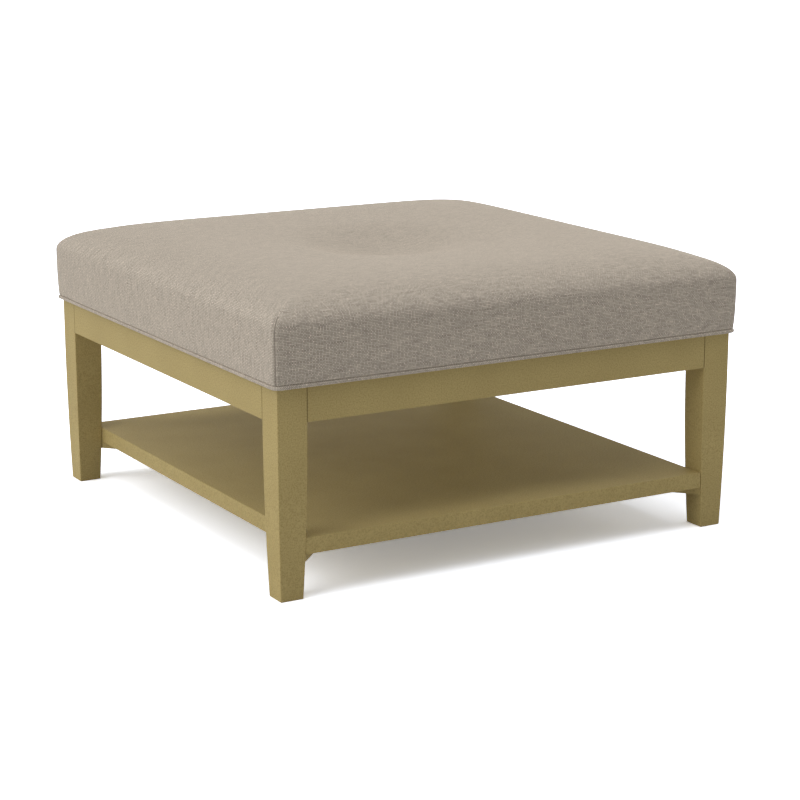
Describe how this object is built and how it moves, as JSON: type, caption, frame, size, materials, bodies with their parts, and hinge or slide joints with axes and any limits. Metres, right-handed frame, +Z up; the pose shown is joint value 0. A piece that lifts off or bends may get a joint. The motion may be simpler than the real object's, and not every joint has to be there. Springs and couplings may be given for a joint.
{
  "type": "ottoman coffee table",
  "caption": "Square ottoman coffee table: painted frame with tapered legs, aprons and a low slab shelf, under a thick fabric top with a piped edge and a central tuft.",
  "frame": {"origin": "on the floor under the middle of the table", "axes": "+Z up, -Y towards the front apron, +X to the right seen from the front"},
  "size_m": [0.9422, 0.9422, 0.507],
  "materials": {
    "painted_wood": "satin khaki paint over smooth hardwood",
    "dowel_wood": "bare beech",
    "brace_wood": "bare planed hardwood",
    "plywood": "bare birch plywood",
    "plated_steel": "zinc plated",
    "foam": "open-cell upholstery foam",
    "upholstery_fabric": "greige linen-look plain weave",
    "twine": "waxed linen twine",
    "anchor_plastic": "plain moulded disc",
    "dust_cloth": "off-white spun-bonded cloth"
  },
  "bodies": {
    "root": {"leg_front_left": "painted_wood", "leg_front_right": "painted_wood", "leg_back_left": "painted_wood", "leg_back_right": "painted_wood", "apron_front": "painted_wood", "apron_back": "painted_wood", "apron_left": "painted_wood", "apron_right": "painted_wood", "apron_dowels": "dowel_wood", "corner_brace_front_left": "brace_wood", "corner_brace_front_right": "brace_wood", "corner_brace_back_left": "brace_wood", "corner_brace_back_right": "brace_wood", "brace_screws": "plated_steel", "hanger_bolts": "plated_steel", "bolt_washers": "plated_steel", "bolt_nuts": "plated_steel", "shelf": "painted_wood", "shelf_dowels": "dowel_wood", "shelf_batten_lower": "painted_wood", "shelf_batten_upper": "painted_wood", "batten_pins": "dowel_wood", "shelf_screws": "plated_steel", "deck_board": "plywood", "top_screws": "plated_steel", "foam_core": "foam", "cushion_cover": "upholstery_fabric", "welt_cord": "upholstery_fabric", "tuft_cord": "twine", "tuft_anchor": "anchor_plastic", "dust_cover": "dust_cloth"}
  },
  "joints": []
}
